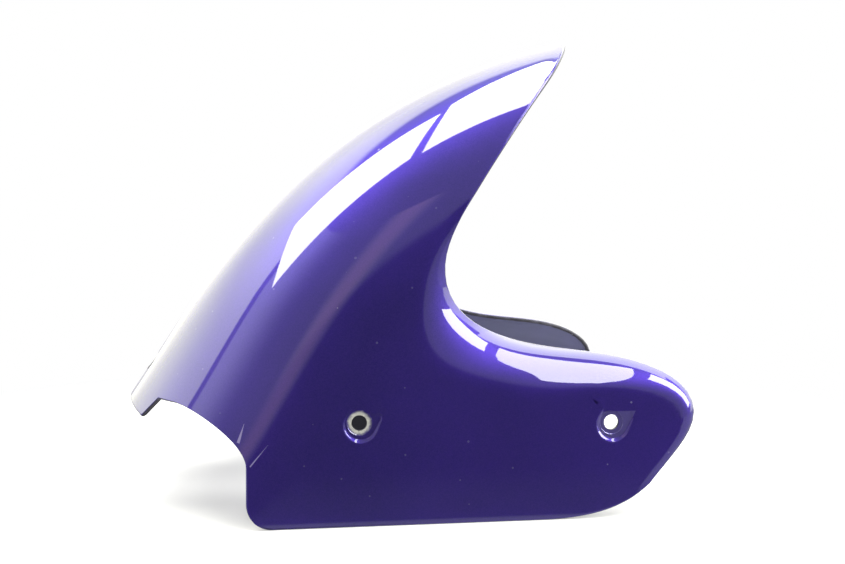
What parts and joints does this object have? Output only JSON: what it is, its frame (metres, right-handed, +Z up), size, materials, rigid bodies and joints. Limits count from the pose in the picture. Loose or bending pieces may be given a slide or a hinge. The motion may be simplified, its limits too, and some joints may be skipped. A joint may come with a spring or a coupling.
{
  "type": "motorcycle front mudguard",
  "caption": "Glossy violet moulded motorcycle front mudguard: arched crown over the tyre, rolled-edge wings outside the fork legs with bolt seats in shallow pockets, and a rear tab.",
  "frame": {"origin": "middle of the bounding box, on the plane of the wings' lower edges", "axes": "+X to the front of the motorcycle, +Z up, Y across from wing to wing"},
  "size_m": [0.3424, 0.25, 0.2915],
  "materials": {
    "paint": "gloss violet lacquer over moulded plastic",
    "inside": "matt unpainted inner face"
  },
  "bodies": {
    "root": {"mudguard": "paint"}
  },
  "joints": []
}
